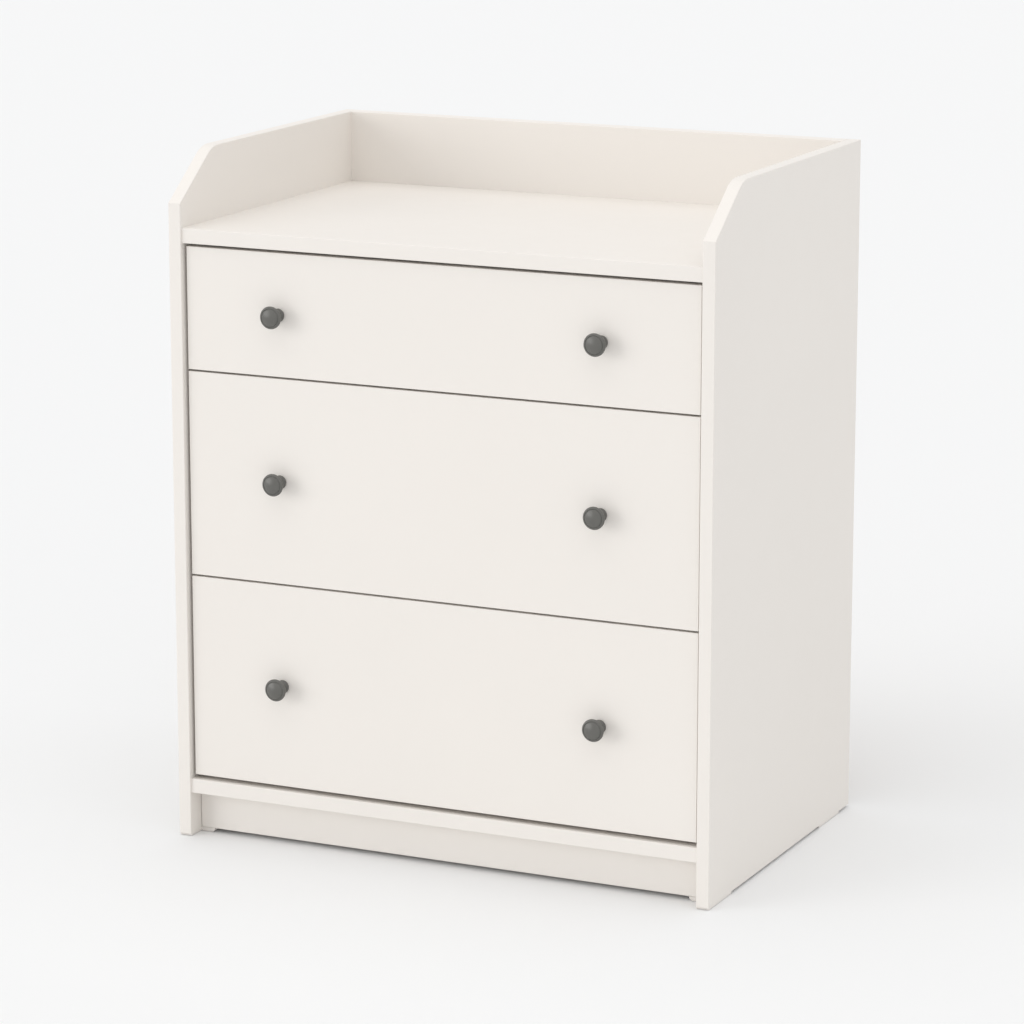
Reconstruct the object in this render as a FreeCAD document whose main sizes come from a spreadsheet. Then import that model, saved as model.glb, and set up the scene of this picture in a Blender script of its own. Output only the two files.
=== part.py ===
import FreeCAD, Part
import math
import os
import re
import Sketcher

from FreeCAD import Placement, Rotation, Vector

# Changing dresser: a chest of three drawers whose side panels and back rise above the top to hold a
# changing mat. Millimetres, +X to the right as seen from the front, +Y to the back, +Z up.
# The origin is on the floor, under the centre of the whole object, knobs included.

SIZES = {
    # Side panels
    "overall_width": 700,  # over the outer faces of the side panels
    "carcass_depth": 460,  # front edge to back edge of a side panel
    "side_thickness": 16,
    "gallery_height": 89,  # how far the sides and back stand above the top panel
    "gallery_slope_run": 81,  # how far back the slope at the front of the gallery reaches
    "gallery_slope_drop": 59.5,  # how far that slope comes down
    "gallery_corner_radius": 45,  # round corner where the slope meets the level top edge
    "edge_radius": 1,  # eased edges of the painted boards
    # Boards between the side panels
    "top_thickness": 18,
    "bottom_thickness": 18,
    "bottom_level": 55,  # floor to the underside of the bottom panel
    "panel_setback": 3,  # top and bottom panels stand back from the sides' front edges
    "gallery_thickness": 18,
    "plinth_thickness": 16,
    "plinth_setback": 26,
    "plinth_clearance": 5.5,  # floor to the underside of the plinth
    "plinth_end_gap": 0.7,  # each end of the plinth to the side panel
    "back_thickness": 3,
    "back_lap": 8,  # how far the back panel laps into a rebate in each side panel
    # Feet
    "foot_height": 3.5,
    "foot_length": 68,
    "front_foot_setback": 2,
    "rear_foot_setback": 35,
    "foot_tab_width": 19,  # inward tab of a front foot, under the end of the plinth
    "foot_chamfer": 1.5,
    "foot_peg_radius": 2.5,
    "foot_peg_length": 9,
    "foot_peg_inset": 14,  # from each end of the foot
    # Drawer fronts and the gaps round them
    "bottom_front_height": 249,
    "middle_front_height": 249,
    "top_front_height": 148,
    "front_thickness": 18,
    "front_edge_radius": 0.4,
    "front_setback": 7.5,  # drawer fronts stand back from the sides' front edges
    "gap_side": 3.5,
    "gap_below": 5,
    "gap_between": 2.5,
    "gap_above": 4,
    # Drawer boxes
    "box_raise": 12,  # lower edge of the front to lower edge of the box
    "box_drop": 36,  # upper edge of the front to upper edge of the box
    "box_rear_clearance": 31.5,  # back of the box to the back panel
    "box_side_thickness": 12,
    "box_back_thickness": 12,
    "box_bottom_thickness": 3,
    "groove_depth": 5,
    "groove_height": 10,  # lower edge of the box to its bottom board
    # Knobs, turned about their own axis: distances run forward from the drawer front
    "knob_spacing": 416,
    "knob_base_radius": 8.2,
    "knob_base_length": 2.2,
    "knob_neck_radius": 5.8,
    "knob_neck_start": 7.5,
    "knob_neck_end": 12.5,
    "knob_head_radius": 13.6,
    "knob_rim_back": 18.2,
    "knob_rim_front": 21,
    "knob_face_radius": 11,
    "knob_face_level": 23.2,
    "knob_projection": 24.5,
    "knob_soft_radius": 1.2,  # softened corners
    # Knob screws
    "knob_screw_radius": 2,
    "knob_screw_hole_radius": 2.25,
    "knob_screw_head_radius": 4,
    "knob_screw_head_height": 2.4,
    "knob_screw_grip": 10,  # thread inside the knob
    # Runners: a channel on the cabinet and a flanged strip on the drawer box
    "runner_gap": 12.5,  # side panel to drawer box
    "runner_setback": 2,  # back face of a drawer front to the runners
    "steel_thickness": 1.2,
    "channel_reach": 10,  # side panel to the lips of the channel
    "strip_wrap": 11,  # how far the strip reaches under the box side
    "strip_flange_reach": 8.9,  # box side to the outer edge of the strip's flange
    "strip_peg_radius": 2.5,
    "strip_peg_length": 8,
    "strip_peg_inset": 50,
    "front_roller_radius": 7,
    "rear_roller_radius": 9,
    "front_roller_inset": 14,
    "rear_roller_inset": 12,
    "roller_width": 6,
    "roller_play": 0.1,  # roller to the flange that it runs on
    "roller_side_play": 0.2,
    "roller_lift": 0.4,  # extra height of the channel above the rear roller
    "roller_relief": 1.5,  # rear roller to the end of the strip's flange
    "axle_radius": 2.5,
    "axle_fit": 0.05,  # radial clearance of a roller on its axle
    "axle_collar_radius": 4.2,
    "axle_collar_width": 1,
    "axle_head_width": 0.6,
    # Screws that hold the runners and the wall brackets
    "screw_radius": 1.75,
    "screw_length": 13,
    "screw_head_radius": 3.4,
    "screw_head_height": 1.6,
    "runner_screw_inset": 60,
    # Cam bolts, cam nuts and dowels between the side panels and the boards
    "cam_inset": 60,  # from the front and back edges of the carcass
    "cam_distance": 24,  # side panel to the centre of a cam nut
    "cam_radius": 7.5,
    "cam_height": 13,
    "cam_bolt_radius": 2.5,
    "cam_bolt_thread": 11,  # thread inside the side panel
    "cam_bolt_head_radius": 3.2,
    "cam_bolt_head_length": 3,
    "cam_bore_radius": 3.5,
    "cam_bore_overrun": 3,
    "dowel_radius": 4,
    "dowel_length": 30,
    "dowel_hold": 12,  # part of the dowel inside the side panel
    "dowel_inset": 130,
    "gallery_dowel_offset": 28,
    "plinth_dowel_offset": 16,
    # Dowels of the drawer boxes
    "box_dowel_radius": 3,
    "box_dowel_length": 24,
    "front_dowel_hold": 10,  # part of the dowel inside the drawer front
    "side_dowel_hold": 8,  # part of the dowel inside the box side
    "box_dowel_low": 30,
    "box_dowel_high": 20,
    # Wall brackets
    "bracket_spacing": 400,
    "bracket_width": 40,
    "bracket_leg": 35,
    "bracket_thickness": 2,
    "bracket_bend_radius": 2,
    "bracket_screw_spacing": 22,
    "wall_hole_radius": 3,
    "wall_hole_drop": 20,  # underside of the top panel to the wall screw
    # Nails of the back panel
    "nail_radius": 0.8,
    "nail_length": 20,
    "nail_head_radius": 2,
    "nail_head_height": 0.6,
}

# Places that follow from the sizes. A formula may use the sizes and the names above it.
PLACES = {
    "inner_half": "overall_width / 2 - side_thickness",
    "front_edge": "(knob_projection - front_setback - carcass_depth) / 2",
    "back_edge": "front_edge + carcass_depth",
    "inner_back": "back_edge - back_thickness",
    "front_face": "front_edge + front_setback",
    "bottom_surface": "bottom_level + bottom_thickness",
    "bottom_front_low": "bottom_surface + gap_below",
    "middle_front_low": "bottom_front_low + bottom_front_height + gap_between",
    "top_front_low": "middle_front_low + middle_front_height + gap_between",
    "top_level": "top_front_low + top_front_height + gap_above",
    "top_surface": "top_level + top_thickness",
    "overall_height": "top_surface + gallery_height",
    "side_height": "overall_height - foot_height",
    "plinth_front": "front_edge + plinth_setback",
    "plinth_back": "plinth_front + plinth_thickness",
    "front_half": "inner_half - gap_side",
    "box_front": "front_face + front_thickness",
    "box_back": "inner_back - box_rear_clearance",
    "box_half": "inner_half - runner_gap",
    "box_inner_half": "box_half - box_side_thickness",
    "runner_front": "box_front + runner_setback",
    "runner_length": "box_back - runner_front",
    "channel_height": "2 * rear_roller_radius + 2 * roller_play + roller_lift",
    "flange_rise": "2 * front_roller_radius + 2 * roller_play",
}

DRAWERS = ("bottom", "middle", "top")
NAILS_PER_SIDE = 5
NAILS_PER_HALF_WIDTH = 2
NEAR = 1e-4  # for finding an edge by its place

doc = FreeCAD.newDocument("changing_dresser")
subparts = []


# ------------------------------------------------------------------ the sheet and its formulas

def formula(text):
    """The same formula with each size written as sizes.name and each place as places.name."""

    def full_name(word):
        name = word.group()
        if name in SIZES:
            return "sizes." + name
        if name in PLACES:
            return "places." + name
        return name

    return re.sub(r"[a-z][a-z_]+", full_name, text)


def bind(thing, property_name, text):
    thing.setExpression(property_name, formula(text))


def fill_sheet():
    sheet = doc.addObject("Spreadsheet::Sheet", "sizes")
    for row, (name, value) in enumerate(SIZES.items(), start=1):
        sheet.set(f"A{row}", name)
        sheet.set(f"B{row}", str(value))
        sheet.setAlias(f"B{row}", name)
    doc.recompute()


def work_out_places():
    places = doc.addObject("App::VarSet", "places")
    for name, text in PLACES.items():
        places.addProperty("App::PropertyFloat", name)
        bind(places, name, text)
    doc.recompute()


# ------------------------------------------------------------------ bodies, sketches and their edges

# For each direction: the origin plane square to it, and whether that plane faces along it.
ACROSS = {"x": ("YZ_Plane", True), "y": ("XZ_Plane", False), "z": ("XY_Plane", True)}
TURNS = {
    "x": Rotation(Vector(0, 1, 0), 90),
    "y": Rotation(Vector(1, 0, 0), -90),
    "z": Rotation(),
}


def new_body(name, place):
    """A body whose own origin stands at a place in the dresser."""
    body = doc.addObject("PartDesign::Body", name)
    for letter, text in zip("xyz", place):
        bind(body, f"Placement.Base.{letter}", text)
    return body


def new_sketch(body, direction, level="0"):
    """A sketch square to a direction, at a level along it."""
    role, faces_along = ACROSS[direction]
    sketch = body.newObject("Sketcher::SketchObject", f"{body.Name}_sketch")
    plane = next(item for item in body.Origin.OriginFeatures if item.Role == role)
    sketch.AttachmentSupport = [(plane, "")]
    sketch.MapMode = "FlatFace"
    bind(sketch, "AttachmentOffset.Base.z", level if faces_along else f"-({level})")
    return sketch


def hold_point(sketch, geometry, end, across, up):
    """Holds a point of the sketch at a distance across and up from the sketch's origin."""
    for kind, text, axis in (("DistanceX", across, -2), ("DistanceY", up, -1)):
        if text == "0":
            sketch.addConstraint(Sketcher.Constraint("PointOnObject", geometry, end, axis))
            continue
        index = sketch.addConstraint(Sketcher.Constraint(kind, -1, 1, geometry, end, 1.0))
        bind(sketch, f"Constraints[{index}]", text)


def draw_outline(sketch, corners):
    """A closed outline of straight lines through corners given as formulas."""
    count = len(corners)
    turns = [2 * math.pi * number / count for number in range(count)]
    start = [Vector(math.cos(turn), math.sin(turn), 0) for turn in turns]
    for number in range(count):
        sketch.addGeometry(Part.LineSegment(start[number], start[(number + 1) % count]), False)
    for number in range(count):
        sketch.addConstraint(Sketcher.Constraint("Coincident", number, 2, (number + 1) % count, 1))
    for number, (across, up) in enumerate(corners):
        hold_point(sketch, number, 1, across, up)


def draw_circles(sketch, centres, radius):
    for across, up in centres:
        index = sketch.addGeometry(Part.Circle(Vector(), Vector(0, 0, 1), 1.0), False)
        hold_point(sketch, index, 3, across, up)
        size = sketch.addConstraint(Sketcher.Constraint("Radius", index, 1.0))
        bind(sketch, f"Constraints[{size}]", radius)


def pad(body, sketch, direction, length):
    """Thickens a sketch along its direction, towards +X, +Y or +Z."""
    feature = body.newObject("PartDesign::Pad", f"{body.Name}_pad")
    feature.Profile = sketch
    feature.Reversed = not ACROSS[direction][1]
    bind(feature, "Length", length)
    return feature


def edges_where(shape, wanted):
    return [f"Edge{number}" for number, edge in enumerate(shape.Edges, start=1) if wanted(edge)]


def soften(body, kind, size_name, size, wanted):
    """Rounds or chamfers the edges that wanted picks, each by its place in the body."""
    doc.recompute()
    base = body.Tip
    feature = body.newObject(f"PartDesign::{kind}", f"{body.Name}_{kind.lower()}")
    feature.Base = (base, edges_where(base.Shape, wanted))
    bind(feature, size_name, size)
    return feature


def all_at(edge, letter, level):
    """Whether the whole edge lies at a level of x, y or z."""
    return all(abs(getattr(vertex, letter) - level) < NEAR for vertex in edge.Vertexes)


def along_x(edge):
    return edge.BoundBox.YLength < NEAR and edge.BoundBox.ZLength < NEAR


# ------------------------------------------------------------------ simple solids and joins

def board(name, low, high, thickness_direction):
    """A flat board between two opposite corners."""
    body = new_body(name, low)
    size = {letter: f"({b}) - ({a})" for letter, a, b in zip("xyz", low, high)}
    across, up = (letter for letter in "xyz" if letter != thickness_direction)
    sketch = new_sketch(body, thickness_direction)
    draw_outline(
        sketch,
        [("0", "0"), (size[across], "0"), (size[across], size[up]), ("0", size[up])],
    )
    pad(body, sketch, thickness_direction, size[thickness_direction])
    return body


def rod(name, direction, start, length, radius):
    """A cylinder that runs from its start towards +X, +Y or +Z."""
    cylinder = doc.addObject("Part::Cylinder", name)
    cylinder.Placement = Placement(Vector(), TURNS[direction])
    for letter, text in zip("xyz", start):
        bind(cylinder, f"Placement.Base.{letter}", text)
    bind(cylinder, "Height", length)
    bind(cylinder, "Radius", radius)
    return cylinder


def block(name, low, high):
    box = doc.addObject("Part::Box", name)
    for letter, side, a, b in zip("xyz", ("Length", "Width", "Height"), low, high):
        bind(box, f"Placement.Base.{letter}", a)
        bind(box, side, f"({b}) - ({a})")
    return box


def fused(name, shapes):
    fuse = doc.addObject("Part::MultiFuse", name)
    fuse.Shapes = shapes
    fuse.Refine = True
    return fuse


def grouped(name, shapes):
    compound = doc.addObject("Part::Compound", name)
    compound.Links = shapes
    return compound


def cut(name, base, *tools):
    """The base less every tool, so that it fits round the pieces that go into it."""
    result = doc.addObject("Part::Cut", name)
    result.Base = base
    result.Tool = tools[0] if len(tools) == 1 else fused(f"{name}_tools", list(tools))
    return result


def mirrored(name, source):
    """The left-hand copy of a right-hand piece."""
    mirror = doc.addObject("Part::Mirroring", name)
    mirror.Source = source
    mirror.Base = Vector(0, 0, 0)
    mirror.Normal = Vector(1, 0, 0)
    return mirror


def both_sides(name, right):
    return grouped(name, [right, mirrored(f"{name}_left_copy", right)])


def keep(*pieces):
    """Marks finished pieces, each of which is written under its own name."""
    subparts.extend(pieces)


# ------------------------------------------------------------------ fasteners, on the right-hand side

def headed_pin(name, direction, tip, length, radius, head_radius, head_height, head_first):
    """A screw or nail: a shank along a direction, with its head at the start or at the far end."""
    spot = dict(zip("xyz", tip))
    head_start = dict(spot)
    if head_first:
        head_start[direction] = f"{spot[direction]} - ({head_height})"
    else:
        head_start[direction] = f"{spot[direction]} + ({length})"
    shank = rod(f"{name}_shank", direction, tip, length, radius)
    head = rod(f"{name}_head", direction, head_start.values(), head_height, head_radius)
    return fused(name, [shank, head])


def cam_joint(name, y, z, nut_direction, nut_low):
    """A bolt in the side panel, the cam nut in the board that grips it, and the board's bore."""
    centre = "inner_half - cam_distance"
    shaft = rod(f"{name}_shaft", "x", (centre, y, z), "cam_distance + cam_bolt_thread", "cam_bolt_radius")
    head = rod(
        f"{name}_head",
        "x",
        (f"{centre} - cam_bolt_head_length / 2", y, z),
        "cam_bolt_head_length",
        "cam_bolt_head_radius",
    )
    bore = rod(
        f"{name}_bore",
        "x",
        (f"{centre} - cam_bore_overrun", y, z),
        "cam_distance + cam_bore_overrun",
        "cam_bore_radius",
    )
    nut_start = (centre, y, nut_low) if nut_direction == "z" else (centre, nut_low, z)
    seat = rod(f"{name}_seat", nut_direction, nut_start, "cam_height", "cam_radius")
    bolt = fused(f"{name}_bolt", [shaft, head])
    nut = cut(f"{name}_nut", seat, bore)
    return bolt, nut, fused(f"{name}_hole", [seat, bore])


def panel_dowel(name, y, z):
    start = "inner_half + dowel_hold - dowel_length"
    return rod(name, "x", (start, y, z), "dowel_length", "dowel_radius")


def make_joinery():
    """Cam joints and dowels of the four boards that stand between the side panels."""
    top_middle = "top_level + top_thickness / 2"
    bottom_middle = "bottom_level + bottom_thickness / 2"
    gallery_y = "back_edge - gallery_thickness / 2"
    gallery_z = "top_surface + gallery_height / 2"
    plinth_y = "plinth_front + plinth_thickness / 2"
    plinth_z = "(plinth_clearance + bottom_level) / 2"
    front_cam = "front_edge + cam_inset"
    rear_cam = "back_edge - cam_inset"
    cams = [
        cam_joint("top_front_cam", front_cam, top_middle, "z", "top_level"),
        cam_joint("top_rear_cam", rear_cam, top_middle, "z", "top_level"),
        cam_joint("bottom_front_cam", front_cam, bottom_middle, "z", "bottom_level"),
        cam_joint("bottom_rear_cam", rear_cam, bottom_middle, "z", "bottom_level"),
        cam_joint("gallery_cam", gallery_y, gallery_z, "y", "back_edge - cam_height"),
        cam_joint("plinth_cam", plinth_y, plinth_z, "y", "plinth_back - cam_height"),
    ]
    dowels = [
        panel_dowel("top_front_dowel", "front_edge + dowel_inset", top_middle),
        panel_dowel("top_rear_dowel", "back_edge - dowel_inset", top_middle),
        panel_dowel("bottom_front_dowel", "front_edge + dowel_inset", bottom_middle),
        panel_dowel("bottom_rear_dowel", "back_edge - dowel_inset", bottom_middle),
        panel_dowel("gallery_upper_dowel", gallery_y, f"{gallery_z} + gallery_dowel_offset"),
        panel_dowel("gallery_lower_dowel", gallery_y, f"{gallery_z} - gallery_dowel_offset"),
        panel_dowel("plinth_upper_dowel", plinth_y, f"{plinth_z} + plinth_dowel_offset"),
        panel_dowel("plinth_lower_dowel", plinth_y, f"{plinth_z} - plinth_dowel_offset"),
    ]
    bolts = grouped("cam_bolts_right", [bolt for bolt, _, _ in cams])
    nuts = grouped("cam_nuts_right", [nut for _, nut, _ in cams])
    pegs = grouped("panel_dowels_right", dowels)
    keep(both_sides("cam_bolts", bolts), both_sides("cam_nuts", nuts), both_sides("panel_dowels", pegs))
    board_holes = both_sides("board_holes", grouped("board_holes_right", [hole for _, _, hole in cams] + dowels))
    return grouped("side_holes", [bolts, pegs]), board_holes


def make_nails():
    """Nails of the back panel: up each side, and along the top and bottom panels."""
    places = []
    for number in range(NAILS_PER_SIDE):
        share = f"({number} + 0.5) / {NAILS_PER_SIDE}"
        z = f"bottom_surface + {share} * (top_level - bottom_surface)"
        places.append(("inner_half + back_lap / 2", z))
    for number in range(NAILS_PER_HALF_WIDTH):
        x = f"({number} + 0.5) / {NAILS_PER_HALF_WIDTH} * inner_half"
        places.append((x, "top_level + top_thickness / 2"))
        places.append((x, "bottom_level + bottom_thickness / 2"))
    nails = []
    for number, (x, z) in enumerate(places):
        nails.append(
            headed_pin(
                f"nail_{number}",
                "y",
                (x, "back_edge - nail_length", z),
                "nail_length - nail_head_height",
                "nail_radius",
                "nail_head_radius",
                "nail_head_height",
                head_first=False,
            )
        )
    right = grouped("back_nails_right", nails)
    both = both_sides("back_nails", right)
    keep(both)
    return right, both


def make_carcass_screws():
    """Short screws, all alike: two in each cabinet runner and two in each wall bracket."""
    runner_screws = []
    for drawer in DRAWERS:
        z = f"{drawer}_front_low + box_raise + channel_height / 2"
        for end, y in (
            ("front", "runner_front + runner_screw_inset"),
            ("rear", "runner_front + runner_length - runner_screw_inset"),
        ):
            runner_screws.append(
                headed_pin(
                    f"{drawer}_{end}_runner_screw",
                    "x",
                    ("inner_half - steel_thickness", y, z),
                    "screw_length",
                    "screw_radius",
                    "screw_head_radius",
                    "screw_head_height",
                    head_first=True,
                )
            )
    bracket_screws = []
    for side, sign in (("inner", "-"), ("outer", "+")):
        x = f"bracket_spacing / 2 {sign} bracket_screw_spacing / 2"
        y = "inner_back - bracket_leg / 2 - bracket_thickness"
        bracket_screws.append(
            headed_pin(
                f"{side}_bracket_screw",
                "z",
                (x, y, "top_level - bracket_thickness"),
                "screw_length",
                "screw_radius",
                "screw_head_radius",
                "screw_head_height",
                head_first=True,
            )
        )
    runner_group = grouped("runner_screws_right", runner_screws)
    bracket_group = grouped("bracket_screws_right", bracket_screws)
    keep(both_sides("carcass_screws", grouped("carcass_screws_right", [runner_group, bracket_group])))
    return runner_group, bracket_group


# ------------------------------------------------------------------ feet

def add_foot_pegs(body, x):
    sketch = new_sketch(body, "z", "foot_height")
    draw_circles(sketch, [(x, "foot_peg_inset"), (x, "foot_length - foot_peg_inset")], "foot_peg_radius")
    pad(body, sketch, "z", "foot_peg_length")
    soften(body, "Chamfer", "Size", "foot_chamfer", lambda edge: all_at(edge, "Z", 0))


def make_front_foot():
    """A plastic glide under the side panel, with a tab that also carries the end of the plinth."""
    place = ("inner_half - foot_tab_width", "front_edge + front_foot_setback", "0")
    body = new_body("front_foot_right", place)
    width = "foot_tab_width + side_thickness"
    tab_front = "plinth_setback - front_foot_setback"
    tab_back = "plinth_setback - front_foot_setback + plinth_thickness"
    plan = new_sketch(body, "z")
    draw_outline(
        plan,
        [
            ("foot_tab_width", "0"),
            (width, "0"),
            (width, "foot_length"),
            ("foot_tab_width", "foot_length"),
            ("foot_tab_width", tab_back),
            ("0", tab_back),
            ("0", tab_front),
            ("foot_tab_width", tab_front),
        ],
    )
    pad(body, plan, "z", "foot_height")
    tab = new_sketch(body, "z")
    draw_outline(
        tab,
        [("0", tab_front), ("foot_tab_width", tab_front), ("foot_tab_width", tab_back), ("0", tab_back)],
    )
    pad(body, tab, "z", "plinth_clearance")
    add_foot_pegs(body, "foot_tab_width + side_thickness / 2")
    return body


def make_rear_foot():
    low = ("inner_half", "back_edge - rear_foot_setback - foot_length", "0")
    high = ("inner_half + side_thickness", "back_edge - rear_foot_setback", "foot_height")
    body = board("rear_foot_right", low, high, "z")
    add_foot_pegs(body, "side_thickness / 2")
    return body


# ------------------------------------------------------------------ carcass boards

def make_side_panel_blank():
    """The side panel before its holes: a tall board whose top front corner slopes up to the gallery."""
    body = new_body("side_panel_blank", ("inner_half", "front_edge", "foot_height"))
    outline = new_sketch(body, "x")
    draw_outline(
        outline,
        [
            ("0", "0"),
            ("carcass_depth", "0"),
            ("carcass_depth", "side_height"),
            ("gallery_slope_run", "side_height"),
            ("0", "side_height - gallery_slope_drop"),
        ],
    )
    pad(body, outline, "x", "side_thickness")
    soften(
        body,
        "Fillet",
        "Radius",
        "gallery_corner_radius",
        lambda edge: along_x(edge) and all_at(edge, "Y", SIZES["gallery_slope_run"]),
    )
    soften(
        body,
        "Fillet",
        "Radius",
        "edge_radius",
        lambda edge: not along_x(edge) and not all_at(edge, "Z", 0),
    )
    return body


def ease_front_edges(body):
    """Eases the two long front edges of a board that spans the carcass."""
    soften(body, "Fillet", "Radius", "edge_radius", lambda edge: along_x(edge) and all_at(edge, "Y", 0))


def make_carcass(side_holes, board_holes, nails_right, nails, runner_screws, bracket_screws):
    front_foot = make_front_foot()
    rear_foot = make_rear_foot()
    keep(both_sides("front_feet", front_foot), both_sides("rear_feet", rear_foot))

    back_blank = board(
        "back_panel_blank",
        ("-inner_half - back_lap", "inner_back", "bottom_level"),
        ("inner_half + back_lap", "back_edge", "top_surface"),
        "y",
    )
    wall_hole = make_wall_hole()
    keep(cut("back_panel", back_blank, nails, both_sides("wall_holes", wall_hole)))

    side_right = cut(
        "side_panel_right",
        make_side_panel_blank(),
        side_holes,
        nails_right,
        runner_screws,
        front_foot,
        rear_foot,
        back_blank,
    )
    keep(side_right, mirrored("side_panel_left", side_right))

    top_blank = board(
        "top_panel_blank",
        ("-inner_half", "front_edge + panel_setback", "top_level"),
        ("inner_half", "inner_back", "top_surface"),
        "z",
    )
    ease_front_edges(top_blank)
    keep(cut("top_panel", top_blank, board_holes, nails, both_sides("bracket_screw_holes", bracket_screws)))

    bottom_blank = board(
        "bottom_panel_blank",
        ("-inner_half", "front_edge + panel_setback", "bottom_level"),
        ("inner_half", "inner_back", "bottom_surface"),
        "z",
    )
    ease_front_edges(bottom_blank)
    keep(cut("bottom_panel", bottom_blank, board_holes, nails))

    plinth_blank = board(
        "plinth_blank",
        ("plinth_end_gap - inner_half", "plinth_front", "plinth_clearance"),
        ("inner_half - plinth_end_gap", "plinth_back", "bottom_level"),
        "y",
    )
    ease_front_edges(plinth_blank)
    keep(cut("plinth", plinth_blank, board_holes))

    gallery_blank = board(
        "gallery_back_blank",
        ("-inner_half", "back_edge - gallery_thickness", "top_surface"),
        ("inner_half", "back_edge", "overall_height"),
        "y",
    )
    soften(
        gallery_blank,
        "Fillet",
        "Radius",
        "edge_radius",
        lambda edge: along_x(edge) and edge.Vertexes[0].Z > NEAR,
    )
    keep(cut("gallery_back", gallery_blank, board_holes))
    keep(both_sides("wall_brackets", make_wall_bracket(bracket_screws, wall_hole)))


# ------------------------------------------------------------------ wall brackets

def make_wall_hole():
    """The way of a wall screw through the bracket and the back panel."""
    reach = "back_thickness + bracket_thickness"
    start = ("bracket_spacing / 2", f"inner_back - ({reach})", "top_level - wall_hole_drop")
    return rod("wall_hole_right", "y", start, f"2 * ({reach})", "wall_hole_radius")


def make_wall_bracket(bracket_screws, wall_hole):
    """A bent steel angle under the top panel and against the back panel."""
    place = (
        "bracket_spacing / 2 - bracket_width / 2",
        "inner_back - bracket_leg",
        "top_level - bracket_leg",
    )
    body = new_body("wall_bracket_blank", place)
    inner = "bracket_leg - bracket_thickness"
    profile = new_sketch(body, "x")
    draw_outline(
        profile,
        [
            ("bracket_leg", "0"),
            ("bracket_leg", "bracket_leg"),
            ("0", "bracket_leg"),
            ("0", inner),
            (inner, inner),
            (inner, "0"),
        ],
    )
    pad(body, profile, "x", "bracket_width")
    leg = SIZES["bracket_leg"]
    bend = leg - SIZES["bracket_thickness"]
    soften(
        body,
        "Fillet",
        "Radius",
        "bracket_bend_radius",
        lambda edge: along_x(edge) and all_at(edge, "Y", bend) and all_at(edge, "Z", bend),
    )
    soften(
        body,
        "Fillet",
        "Radius",
        "bracket_bend_radius + bracket_thickness",
        lambda edge: along_x(edge) and all_at(edge, "Y", leg) and all_at(edge, "Z", leg),
    )
    return cut("wall_bracket_right", body, bracket_screws, wall_hole)


# ------------------------------------------------------------------ runners and rollers

def axle_and_roller(name, face, outward, y, z, radius):
    """An axle riveted to a runner at x = face, pointing +X or -X, and the roller that turns on it."""
    roller_gap = "axle_collar_width + roller_side_play"
    roller_end = f"{roller_gap} + roller_width"
    axle_end = f"{roller_end} + roller_side_play"

    def section(part, near, width, part_radius):
        start = f"{face} + {near}" if outward else f"{face} - ({near}) - ({width})"
        return rod(f"{name}_{part}", "x", (start, y, z), width, part_radius)

    axle = [
        section("collar", "0", "axle_collar_width", "axle_collar_radius"),
        section("pin", "0", axle_end, "axle_radius"),
        section("head", axle_end, "axle_head_width", "axle_collar_radius"),
    ]
    disc = section("disc", roller_gap, "roller_width", radius)
    bore = section("bore", roller_gap, "roller_width", "axle_radius + axle_fit")
    return axle, cut(f"{name}_roller", disc, bore)


def make_cabinet_runner(drawer, track, runner_screws):
    """A steel channel screwed to the side panel, with the front roller that the drawer runs on."""
    body = new_body(
        f"{drawer}_channel",
        ("inner_half - channel_reach", "runner_front", f"{track} - steel_thickness"),
    )
    height = "channel_height + 2 * steel_thickness"
    web = "channel_reach - steel_thickness"
    profile = new_sketch(body, "y")
    draw_outline(
        profile,
        [
            ("0", "0"),
            ("channel_reach", "0"),
            ("channel_reach", height),
            ("0", height),
            ("0", "channel_height + steel_thickness"),
            (web, "channel_height + steel_thickness"),
            (web, "steel_thickness"),
            ("0", "steel_thickness"),
        ],
    )
    pad(body, profile, "y", "runner_length")
    axle, roller = axle_and_roller(
        f"{drawer}_cabinet",
        "inner_half - steel_thickness",
        False,
        "runner_front + front_roller_inset",
        f"{track} + front_roller_radius + roller_play",
        "front_roller_radius",
    )
    steel = fused(f"{drawer}_channel_steel", [body] + axle)
    right = cut(f"cabinet_runner_{drawer}_right", steel, runner_screws)
    keep(right, mirrored(f"cabinet_runner_{drawer}_left", right))
    keep(both_sides(f"cabinet_rollers_{drawer}", roller))


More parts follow.
